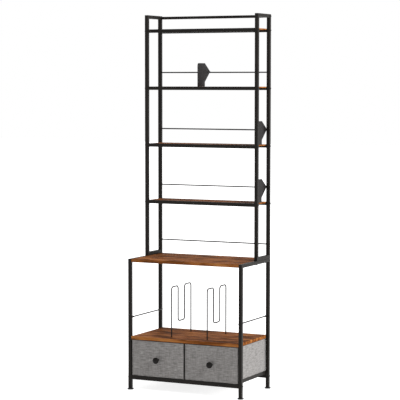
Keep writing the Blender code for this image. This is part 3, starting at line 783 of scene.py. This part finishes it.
def makeDividers():
    for word in sideWords:
        node = "record_divider_" + word
        low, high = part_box(node)
        x = middle(node).x
        radius = wires["rod"]
        first, last = low.y + radius, high.y - radius
        gap = (last - first) / 3
        top = high.z - radius
        bend = lowerTop + wires["dividerDrop"]
        turn = wires["dividerBend"]
        corners = [
            (first, low.z, 0), (first, top, turn), (first + gap, top, turn),
            (first + gap, bend, turn), (first + 2 * gap, bend, turn), (first + 2 * gap, top, turn),
            (last, top, turn), (last, low.z, 0),
        ]
        path = [(x, y, z) for y, z in roundCorners(corners, closed=False)]
        shape = bmesh.new()
        addWire(shape, path, radius, (1, 0, 0))
        makePiece("divider_wire_" + word, shape, "wire", [node])


def makeDrawerLoop():
    low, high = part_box("drawer_loop")
    radius, turn = wires["loop"], wires["loopBend"]
    near, far = low.y + radius, high.y - radius
    bottom, top = low.z + radius, high.z - radius
    corners = [(near, bottom, turn), (near, top, turn), (far, top, turn), (far, bottom, turn)]
    path = [(0, y, z) for y, z in roundCorners(corners)]
    shape = bmesh.new()
    addWire(shape, path, radius, (1, 0, 0), closed=True)
    makePiece("wire_loop", shape, "wire", ["drawer_loop"])


sideRod = {
    "flat": 0.0166, "taper": 0.010, "flatHalf": 0.001, "flatTall": 0.0045, "postGap": 0.0003,
    "sides": 20, "tapersFrom": 0.002,
    # the rounded tip: distance from the end, share of the thickness, share of the height
    "tip": [(0, 0.7, 0.25), (0.0006, 1, 0.62), (0.002, 1, 0.86), (0.0045, 1, 1)],
}


def makeSideRods():
    flatHalf, flatTall, rod = sideRod["flatHalf"], sideRod["flatTall"], wires["rod"]
    turns = [2 * math.pi * k / sideRod["sides"] for k in range(sideRod["sides"])]
    for word, side in sideWords.items():
        node = "side_rod_" + word
        low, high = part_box(node)
        z = middle(node).z
        # the flat ends lie against the posts, and the round part springs from them
        x = side * (tube["innerX"] - sideRod["postGap"] - flatHalf)
        stations = sideRod["tip"] + [(sideRod["flat"] - sideRod["tapersFrom"], 1, 1)]
        rows = [(low.y + at, flatHalf * thin, flatTall * tall) for at, thin, tall in stations]
        for step in range(1, 7):
            share = step / 6
            ease = share * share * (3 - 2 * share)
            thin = flatHalf + (rod - flatHalf) * ease
            tall = flatTall + (rod - flatTall) * ease
            rows.append((low.y + sideRod["flat"] + sideRod["taper"] * share, thin, tall))
        rows += [(high.y - (y - low.y), thin, tall) for y, thin, tall in reversed(rows)]
        shape = skinOf([
            [(x + thin * math.cos(t), y, z + tall * math.sin(t)) for t in turns]
            for y, thin, tall in rows
        ])
        makePiece("side_rod_wire_" + word, shape, "wire", [node], sharpAngle=60)


makeRearRods()
makeDividers()
makeDrawerLoop()
makeSideRods()
print("rods, dividers and loop bent")


# Bookends

bookend = {
    "tall": 0.112, "front": 0.0085, "wide": 0.079, "step": 0.022, "corner": 0.012,
    "footCorner": 0.0015, "backCorner": 0.003, "thick": 0.0015, "saddle": 0.014,
    "saddleInset": 0.0001, "rodGap": 0.0003, "punched": 0.00025,
}


def extruded(outline, xLow, xHigh, edge=0.0):
    # a plate across X, with its rims eased
    shape = skinOf([[(x, y, z) for y, z in outline] for x in (xLow, xHigh)])
    if edge:
        rims = [
            line for line in shape.edges
            if abs(line.verts[0].co.x - line.verts[1].co.x) < edge / 10
        ]
        bmesh.ops.bevel(
            shape, geom=rims, offset=edge, segments=2, profile=0.5, affect="EDGES",
            clamp_overlap=True,
        )
    return shape


def makeBookends():
    for level, body in enumerate(("bookend_low", "bookend_middle", "bookend_high"), 1):
        node = "bookend_%d" % level
        low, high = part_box(node)
        rod = tuple(middle("rear_rod_%d" % level).yz)
        base = low.z
        top = base + bookend["tall"]
        near = towerFront + bookend["front"]
        far = near + bookend["wide"]
        bore = wires["rod"] + bookend["rodGap"]
        outer = bore + bookend["thick"]
        reach = bore + bookend["thick"] / 2
        outline = roundCorners([
            (far, base, bookend["footCorner"]), (near, base, bookend["footCorner"]),
            (near, top, bookend["corner"]), (far, top, bookend["backCorner"]),
            (rod[0], rod[1] + reach, 0),
        ])
        outline += arc(rod, reach, 90, 180, 8)[1:] + [(far, base + bookend["step"])]
        xLow = high.x - bookend["thick"]
        plate = extruded(outline, xLow, high.x, bookend["punched"])
        # the saddle is a hook that lies over the rod, open below
        lip = rod[1] - wires["rod"]
        section = [(rod[0] + outer, lip)] + arc(rod, outer, 0, 180, 20) + [(rod[0] - outer, lip)]
        section += [(rod[0] - bore, lip)] + arc(rod, bore, 180, 0, 20) + [(rod[0] + bore, lip)]
        saddle = extruded(section, xLow - bookend["saddle"], high.x - bookend["saddleInset"])
        name = "bookend_plate_%d" % level
        makePiece(name, mergedShape(plate, saddle), "sheet", [node], body, 30)


makeBookends()
print("bookends pressed")


# Feet and knobs, turned

foot = {
    "rim": 0.0050, "cone": 0.0015, "neck": 0.0070, "stud": 0.0030, "studLong": 0.022,
    "hollow": 0.0006, "hollowTo": 0.72, "groundFrom": 0.78, "lowRound": 0.0009,
    "highRound": 0.0012, "flareIn": 0.0022, "neckEase": 0.0004,
    "pitch": 0.0010, "threadFrom": 0.0006, "plainTip": 0.002, "threadRoot": 0.84,
}


def makeFeet():
    rim, neck, stud = foot["rim"], foot["neck"], foot["stud"]
    lowRound, highRound, pitch = foot["lowRound"], foot["highRound"], foot["pitch"]
    for corner in cornerWords:
        node = "foot_" + corner
        low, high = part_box(node)
        spot = middle(node)
        radius = (high.x - low.x) / 2
        top = high.z - foot["studLong"]
        profile = [(0, foot["hollow"]), (radius * foot["hollowTo"], foot["hollow"])]
        profile.append((radius * foot["groundFrom"], 0))
        profile += arc((radius - lowRound, lowRound), lowRound, -90, 0, 4)
        profile += arc((radius - highRound, rim - highRound), highRound, 0, 90, 5)
        # hollow flare from the rim up to the neck
        flare = radius - foot["flareIn"]
        for inward, up in quarterTurns(8):
            profile.append((flare - (flare - neck) * inward, rim + foot["cone"] * up))
        profile += [(neck, top - foot["neckEase"]), (neck - foot["neckEase"], top), (stud, top)]
        for turn in range(int((foot["studLong"] - foot["plainTip"]) / pitch)):
            at = top + foot["threadFrom"] + turn * pitch
            profile += [(stud, at), (stud * foot["threadRoot"], at + pitch / 2)]
        profile += [(stud, high.z - stud * 0.5), (stud * 0.5, high.z), (0, high.z)]
        shape = bmesh.new()
        addTurned(shape, profile, Matrix.Translation((spot.x, spot.y, 0)), 40)
        makePiece("levelling_pad_" + corner, shape, "plastic", [node], "leveller_" + corner)


knob = {
    "foot": 0.0080, "footThick": 0.0030, "footLow": 0.0006, "footHigh": 0.0010, "waist": 0.0055,
    "waistRound": (0.0006, 0.0002, 0.0014), "waistCut": 0.0010, "neck": 0.0095,
    "shoulder": 0.0050, "shoulderOver": 0.0024, "swell": 0.72, "rim": 0.0060,
    "rimRound": 0.0022, "rimIn": 0.0016, "rimLow": 0.0026,
    "bore": 0.0023, "boreDeep": 0.014, "boreCone": 0.001,
}
knobScrew = {
    "head": 0.0045, "rise": 0.0025, "shank": 0.0020, "long": 0.0205,
    "driver": "cross", "driverSize": 0.0024, "driverDeep": 0.0014,
}


def makeKnobs():
    waist, footThick, deep = knob["waist"], knob["footThick"], knob["boreDeep"]
    footLow, footHigh, rimRound = knob["footLow"], knob["footHigh"], knob["rimRound"]
    waistOut, roundFrom, roundTo = knob["waistRound"]
    for word in sideWords:
        low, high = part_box("knob_" + word)
        spot = middle("knob_" + word)
        radius = (high.x - low.x) / 2
        waistEnd = footThick + knob["neck"]
        faceAt = waistEnd + knob["shoulder"] + knob["rim"]
        whole = high.y - low.y
        cutAt = waistEnd - knob["waistCut"]
        profile = [(0, deep), (knob["bore"], deep - knob["boreCone"]), (knob["bore"], 0)]
        profile += arc((knob["foot"] - footLow, footLow), footLow, -90, 0, 3)
        profile += arc((knob["foot"] - footHigh, footThick - footHigh), footHigh, 0, 90, 4)
        profile += [(waist + waistOut, footThick + roundFrom), (waist, footThick + roundTo)]
        profile.append((waist, cutAt))
        # the mushroom's underside swells out to the rim
        over = knob["shoulder"] + knob["shoulderOver"]
        for along, out in quarterTurns(7):
            profile.append((waist + (radius - waist) * out ** knob["swell"], cutAt + over * along))
        profile.append((radius, faceAt - knob["rimLow"]))
        profile += arc((radius - rimRound, faceAt - knob["rimIn"]), rimRound, 10, 62, 5)
        edgeRadius, edgeAt = profile[-1]
        for step in range(1, 9):
            share = 1 - step / 8
            profile.append((edgeRadius * share, edgeAt + (whole - edgeAt) * (1 - share ** 2)))
        body = "drawer_" + word
        shape = bmesh.new()
        addTurned(shape, profile, placed((spot.x, high.y, spot.z), (0, -1, 0)), 56)
        makePiece("drawer_knob_" + word, shape, "enamel", ["knob_" + word], body)
        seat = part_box("knob_screw_" + word)[1].y - knobScrew["rise"]
        shape = bmesh.new()
        addScrew(shape, knobScrew, (spot.x, seat, spot.z), (0, -1, 0))
        name = "knob_screw_turned_" + word
        makePiece(name, shape, "zincSteel", ["knob_screw_" + word], body)


makeFeet()
makeKnobs()
print("feet and knobs turned")


# Screws

railScrew = {
    "head": 0.0052, "rise": 0.0034, "shank": 0.0024, "long": 0.0205,
    "driver": "socket", "driverSize": 0.0024, "driverDeep": 0.0016,
}
rodScrew = {
    "head": 0.0038, "rise": 0.0022, "shank": 0.0019, "long": 0.0163,
    "driver": "cross", "driverSize": 0.0020, "driverDeep": 0.0012,
}
tabScrew = {
    "head": 0.0038, "rise": 0.0020, "shank": 0.0018, "long": 0.0100,
    "driver": "cross", "driverSize": 0.0020, "driverDeep": 0.0012,
}
joiningBolt = {
    "head": 0.0055, "rise": 0.0030, "shank": 0.0029, "long": 0.0278,
    "driver": "socket", "driverSize": 0.0026, "driverDeep": 0.0018,
}
shelfScrew = dict(tabScrew, long=0.0062)


def makeSideScrews():
    # through the posts from outside, into the rails' end plates and the rods' ends
    railZ = [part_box("shelf_rail_front_%d" % level)[1].z - tube["wide"] / 2 for level in range(1, 5)]
    railPlaces = [(y, z) for z in railZ for y in (towerPostY, backPostY)]
    railPlaces.append((backPostY, middle("top_guard_rail").z))
    railPlaces += [(y, middle("cabinet_rail_front").z) for y in (frontPostY, backPostY)]
    rodPlaces = [(backPostY, middle("rear_rod_%d" % level).z) for level in range(4)]
    rodPlaces += [(y, middle("side_rod_left").z) for y in (frontPostY, backPostY)]
    for word, side in sideWords.items():
        for name, screw, places in (("rail", railScrew, railPlaces), ("rod", rodScrew, rodPlaces)):
            shape = bmesh.new()
            for y, z in places:
                addScrew(shape, screw, (side * tube["outerX"], y, z), (-side, 0, 0))
            makePiece("%s_screws_%s" % (name, word), shape, "blackSteel")


def makeTabScrews():
    # up through the welded tabs into the boards
    def setIn(name, screw, under, spots):
        shape = bmesh.new()
        for x, y in spots:
            addScrew(shape, screw, (x, y, under - tabs["gap"] - tabs["thick"]), (0, 0, 1))
        makePiece(name, shape, "blackSteel")

    inset = tube["wide"] + tabs["reach"] / 2
    ys = (towerFront + inset, frameBack - inset)
    spots = [(x, y) for y in ys for x in (-tabs["railX"], 0, tabs["railX"])]
    for level in range(1, 5):
        setIn("shelf_tab_screws_%d" % level, shelfScrew, shelfUnder(level), spots)
    tabX = tube["innerX"] - tabs["reach"] / 2
    ends = (cabinetFront + tabs["frameY"], frameBack - tabs["frameY"])
    deskYs = (ends[0], (cabinetFront + frameBack) / 2, ends[1])
    for name, ys in (("desk", deskYs), ("lower", (frontPostY, backPostY))):
        spots = [(x, y) for x in (-tabX, tabX) for y in ys]
        setIn(name + "_tab_screws", tabScrew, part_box(name + "_board")[0].z, spots)


def makeJoiningBolts():
    for corner in cornerWords:
        node = "joining_bolt_" + corner
        spot, low = middle(node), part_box(node)[0]
        shape = bmesh.new()
        addScrew(shape, joiningBolt, (spot.x, spot.y, low.z + joiningBolt["rise"]), (0, 0, 1))
        makePiece("stack_bolt_" + corner, shape, "blackSteel", [node])


makeSideScrews()
makeTabScrews()
makeJoiningBolts()
print("screws and bolts set")


# Weld beads in the corners of the side frames

bead = {
    "leg": 0.0024, "step": 0.0008, "ripple": 0.12, "rippleTurn": 2.1, "margin": 0.0016,
    "root": 0.0004, "endSize": 0.45, "endGrowth": 0.3, "hollow": 0.93,
}


def addBead(shape, xLow, xHigh, y, z, towardsY, towardsZ):
    # a rippled fillet along X in the corner at (y, z)
    rings = []
    count = int((xHigh - xLow) / bead["step"])
    rootY, rootZ = y - towardsY * bead["root"], z - towardsZ * bead["root"]
    for k in range(count + 1):
        x = xLow + (xHigh - xLow) * k / count
        size = bead["leg"] * (1 + bead["ripple"] * math.sin(k * bead["rippleTurn"]))
        size *= min(1, bead["endSize"] + bead["endGrowth"] * min(k, count - k))
        ring = [(x, rootY, rootZ), (x, y + towardsY * size, rootZ)]
        for step in range(1, 4):
            turn = math.pi / 2 * step / 4
            outY, outZ = (1 - way(turn) * bead["hollow"] for way in (math.sin, math.cos))
            ring.append((x, y + towardsY * size * outY, z + towardsZ * size * outZ))
        ring.append((x, rootY, z + towardsZ * size))
        rings.append(ring)
    addSkin(shape, rings)


def makeWelds():
    wide = tube["wide"]
    towerLow, towerHigh = (corner.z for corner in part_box("tower_side_frame_left"))
    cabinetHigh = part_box("cabinet_side_frame_left")[1].z
    corners = []
    for front, z, up in (
        (towerFront, towerLow + wide, 1), (towerFront, towerHigh - wide, -1),
        (cabinetFront, cabinetHigh - wide, -1),
    ):
        corners += [(front + wide, z, 1, up), (frameBack - wide, z, -1, up)]
    for word, side in sideWords.items():
        near, far = tube["innerX"] + bead["margin"], tube["outerX"] - bead["margin"]
        xs = sorted((side * near, side * far))
        shape = bmesh.new()
        for corner in corners:
            addBead(shape, *xs, *corner)
        makePiece("weld_beads_" + word, shape, "tube")


makeWelds()
print("frames welded")


# Cloth drawers

drawer = {
    "wall": 0.0040, "skin": 0.0020, "hem": 0.012, "hemThick": 0.0052, "corner": 0.004,
    "leastCorner": 0.0006, "floor": 0.0020, "under": 0.0015, "grid": 0.0065,
    # inset and height of the edge that turns in below
    "turnIn": [(0.0055, 0), (0.0009, 0), (0.000225, 0.0006)],
    "groove": 0.00045, "grooveHalf": 0.0016, "grooveShare": 0.6, "rowsApart": 1.6,
    "puff": 0.0005, "puffEnd": 0.003, "dent": 0.0008, "dentReach": 0.022, "hemEase": 0.0006,
    "hemBevel": 0.0005,
}
stitch = {
    "drop": 0.0085, "pitch": 0.0044, "long": 0.0032, "thick": 0.00032, "proud": 0.5,
    "rows": (-0.75, 0.0, 0.75), "taper": 0.9, "bow": 0.6, "tall": 1.25,
}
# rows of the cloth round the hem's seam, in halves of its groove
seamRows = (-1.4, -0.7, -0.35, 0, 0.35, 0.7, 1.4)
# how squarely a point has to face out to count as on a wall, and as on its flat part
onWall, onFlat = 0.9, 0.999
lining = {
    "gap": 0.0001, "drop": 0.0002, "ease": 0.0004, "rows": 12, "wave": 0.0003,
    "waveScale": 34, "foot": 0.003, "fold": 0.001,
}
# the most that the outer cloth may stand off its panel, out and in
clothLimits = {
    "front": (0.0016, 0.0009), "post": (0.0020, 0.0009), "loop": (0.0005, 0.0009),
    "back": (0.0016, 0.0009),
}
clothSettings = {
    "frames": 20, "start": 0.0002, "startScale": 28, "knobHeld": 0.010,
    # a little spare cloth, blown out softly, without weight
    "fibre": {
        "quality": 6, "mass": 0.25, "tension_stiffness": 25.0, "compression_stiffness": 25.0,
        "bending_stiffness": 1.5, "shrink_min": -0.0016, "use_pressure": True,
        "uniform_pressure_force": 1.2, "vertex_group_mass": "held",
    },
}


def drawerOutline(low, high, inset):
    # points round the drawer with the way out of the wall; every inset gives the same count
    corner = drawer["corner"]
    radius = max(corner - inset, drawer["leastCorner"])
    halfX, halfY = (high.x - low.x) / 2, (high.y - low.y) / 2
    centreX, centreY = (low.x + high.x) / 2, (low.y + high.y) / 2
    points = []
    for face in range(4):
        run, other = (halfX, halfY) if face % 2 == 0 else (halfY, halfX)
        steps = round((2 * run - 2 * corner) / drawer["grid"])
        start = math.radians(90 * face - 90)
        out = Vector((math.cos(start), math.sin(start)))
        along = Vector((-out.y, out.x))
        flat = run - inset - radius
        for k in range(steps):
            point = out * (other - inset) + along * (-flat + 2 * flat * k / steps)
            points.append((point, out))
        pivot = out * (other - inset - radius) + along * flat
        for k in range(5):
            bent = start + math.pi / 2 * k / 5
            spoke = Vector((math.cos(bent), math.sin(bent)))
            points.append((pivot + spoke * radius, spoke))
    return [(centreX + point.x, centreY + point.y, way) for point, way in points]


def wallOf(way, side):
    if abs(way.y) > onWall:
        return "front" if way.y < 0 else "back"
    return "post" if way.x * side > 0 else "loop"


def slackCloth(outline, heights, knobSpot, side):
    # how far each point of the outer cloth stands off its panel, from a short cloth simulation
    columns, rows = len(outline), len(heights)

    def heldAt(x, z, way, row):
        fromKnob = math.hypot(x - knobSpot.x, z - knobSpot.z)
        nearKnob = way.y < -onWall and fromKnob < clothSettings["knobHeld"]
        inCorner = max(abs(way.x), abs(way.y)) < onFlat
        return row in (0, rows - 1) or inCorner or nearKnob

    def startBulge(x, y, z):
        spot = Vector((x, y, z)) * clothSettings["startScale"]
        return noise.noise(spot) * clothSettings["start"]

    data = bpy.data.meshes.new("slackCloth")
    spots, held = [], []
    for row, z in enumerate(heights):
        for x, y, way in outline:
            isHeld = heldAt(x, z, way, row)
            off = 0 if isHeld else startBulge(x, y, z)
            spots.append((x + way.x * off, y + way.y * off, z))
            held.append(isHeld)
    faces = []
    for base in range(0, (rows - 1) * columns, columns):
        for k in range(columns):
            after = (k + 1) % columns
            faces.append((base + k, base + after, base + columns + after, base + columns + k))
    data.from_pydata(spots, [], faces)
    strip = addObject("slackCloth", data)
    group = strip.vertex_groups.new(name="held")
    group.add([k for k, isHeld in enumerate(held) if isHeld], 1.0, "REPLACE")
    soft = strip.modifiers.new("cloth", "CLOTH")
    soft.point_cache.frame_start = 1
    soft.point_cache.frame_end = clothSettings["frames"]
    for key, value in clothSettings["fibre"].items():
        setattr(soft.settings, key, value)
    soft.settings.effector_weights.gravity = 0
    scene = bpy.context.scene
    for step in range(1, clothSettings["frames"] + 1):
        scene.frame_set(step)
    settled = strip.evaluated_get(bpy.context.evaluated_depsgraph_get()).data.vertices
    offs = []
    for row in range(rows):
        line = []
        for k, (x, y, way) in enumerate(outline):
            moved = settled[row * columns + k].co
            off = (moved.x - x) * way.x + (moved.y - y) * way.y
            limit = clothLimits[wallOf(way, side)][0 if off > 0 else 1]
            line.append(limit * math.tanh(off / limit))
        offs.append(line)
    bpy.data.objects.remove(strip, do_unlink=True)
    scene.frame_set(1)
    return offs


def makeDrawer(word):
    low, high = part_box("drawer_box_" + word)
    knobSpot = middle("knob_" + word)
    body = "drawer_" + word
    half, hemThick, hemRadius = drawer["grooveHalf"], drawer["hemThick"], drawer["hemThick"] / 2

    def level(inset, z):
        return [(x, y, z) for x, y, way in drawerOutline(low, high, inset)]

    outline = drawerOutline(low, high, 0)
    bottom, hemTurn = low.z + drawer["under"], high.z - hemRadius
    rowCount = round((hemTurn - bottom) / drawer["grid"])
    heights = [bottom + (hemTurn - bottom) * k / rowCount for k in range(rowCount + 1)]
    # rows close together where the hem is sewn down
    seam = high.z - stitch["drop"]
    heights = [z for z in heights if abs(z - seam) > drawer["rowsApart"] * half]
    heights = sorted(heights + [seam + half * share for share in seamRows])
    offs = slackCloth(outline, heights, knobSpot, sideWords[word])
    rings = [level(inset, low.z + up) for inset, up in drawer["turnIn"]]
    outer = []
    for z, lineOffs in zip(heights, offs):
        ring = []
        dip = math.exp(-((z - seam) / (half * drawer["grooveShare"])) ** 2) * drawer["groove"]
        inHem = min(max((z - seam) / half, 0), 1)
        inHem *= min(max((high.z - z) / drawer["puffEnd"], 0), 1)
        for slack, (x, y, way) in zip(lineOffs, outline):
            off = slack - dip + inHem * drawer["puff"]
            if way.y < -onWall:
                away = math.hypot(x - knobSpot.x, z - knobSpot.z) / drawer["dentReach"]
                off -= drawer["dent"] * math.exp(-away * away * 2)
            ring.append(Vector((x + way.x * off, y + way.y * off, z)))
        outer.append(ring)
    rings += outer
    for inset, along in arc((hemRadius, 0), hemRadius, 180, 0, 8)[1:]:
        rings.append(level(inset, hemTurn + along))
    hemLow = high.z - drawer["hem"]
    rings += [level(hemThick, (hemTurn + hemLow) / 2), level(hemThick, hemLow + drawer["hemEase"])]
    rings += [level(hemThick - drawer["hemBevel"], hemLow), level(drawer["skin"], hemLow)]
    rings.append(level(drawer["skin"], low.z + drawer["floor"] / 2))
    makePiece("drawer_cloth_" + word, skinOf(rings), "cloth", ["drawer_box_" + word], body, 50)
    makeLining(word, low, high, hemLow, level)
    makeStitches(word, outer[heights.index(seam)])


def makeLining(word, low, high, hemLow, level):
    # felt inside the cloth, down the walls and over the floor
    tuck, wall, rows = drawer["skin"] + lining["gap"], drawer["wall"], lining["rows"]
    top, inside = hemLow - lining["drop"], low.z + drawer["floor"]
    rings = [
        level(tuck, low.z + drawer["floor"] / 2 + lining["gap"]), level(tuck, top),
        level(wall - lining["ease"], top), level(wall, hemLow - drawer["hemEase"]),
    ]
    for k in range(1, rows):
        z = hemLow + (inside + lining["foot"] - hemLow) * k / rows
        ring = []
        for x, y, way in drawerOutline(low, high, wall):
            ease = math.sin(math.pi * k / rows) * lining["wave"]
            off = noise.noise(Vector((x, y, z)) * lining["waveScale"]) * ease
            ring.append((x - way.x * off, y - way.y * off, z))
        rings.append(ring)
    rings += [level(wall, inside + lining["fold"]), level(wall + lining["fold"], inside)]
    makePiece("drawer_lining_" + word, skinOf(rings), "felt", (), "drawer_" + word, 50)


def makeStitches(word, path):
    # lockstitches along the hem
    shape = bmesh.new()
    distance = 0.0
    nextAt = 0.0
    for k, here in enumerate(path):
        there = path[(k + 1) % len(path)]
        run = (there - here).length
        while nextAt < distance + run:
            spot = here.lerp(there, (nextAt - distance) / run)
            along = (there - here).normalized()
            out = along.cross(Vector((0, 0, 1)))
            addStitch(shape, spot + out * stitch["thick"] * stitch["proud"], along, out)
            nextAt += stitch["pitch"]
        distance += run
    makePiece("hem_stitches_" + word, shape, "thread", (), "drawer_" + word)


def addStitch(shape, spot, along, out):
    # a short bowed thread of six sides that dips into the cloth at both ends
    up = Vector((0, 0, 1))
    half, thick, tall = stitch["long"] / 2, stitch["thick"], stitch["tall"]
    turns = [math.pi / 3 * k for k in range(6)]
    rings = [[spot - along * half - out * thick]]
    for share in stitch["rows"]:
        radius = thick * math.sqrt(1 - (share * stitch["taper"]) ** 2)
        centre = spot + along * half * share - out * thick * stitch["bow"] * share ** 2
        rings.append([
            centre + out * radius * math.cos(t) + up * radius * tall * math.sin(t) for t in turns
        ])
    rings.append([spot + along * half - out * thick])
    addSkin(shape, rings)


floorPanel = {"edge": 0.0008, "corner": 0.003}


def makeFloorPanel(word):
    # the loose panel is wrapped in felt, so its edges are soft
    node = "drawer_floor_" + word
    low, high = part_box(node)
    edge, radius = floorPanel["edge"], floorPanel["corner"]
    profile = [(edge * 3, low.z)] + arc((edge, low.z + edge), edge, 270, 180, 2)
    profile += arc((edge, high.z - edge), edge, 180, 90, 2) + [(edge * 3, high.z)]
    rings = []
    for inset, z in profile:
        corners = fourCorners(low.x + inset, low.y + inset, high.x - inset, high.y - inset)
        outline = roundCorners([(x, y, radius) for x, y in corners])
        rings.append([(x, y, z) for x, y in outline])
    name = "drawer_floor_panel_" + word
    makePiece(name, skinOf(rings), "felt", [node], "drawer_" + word)


for word in sideWords:
    makeDrawer(word)
    makeFloorPanel(word)
    print("drawer sewn:", word)
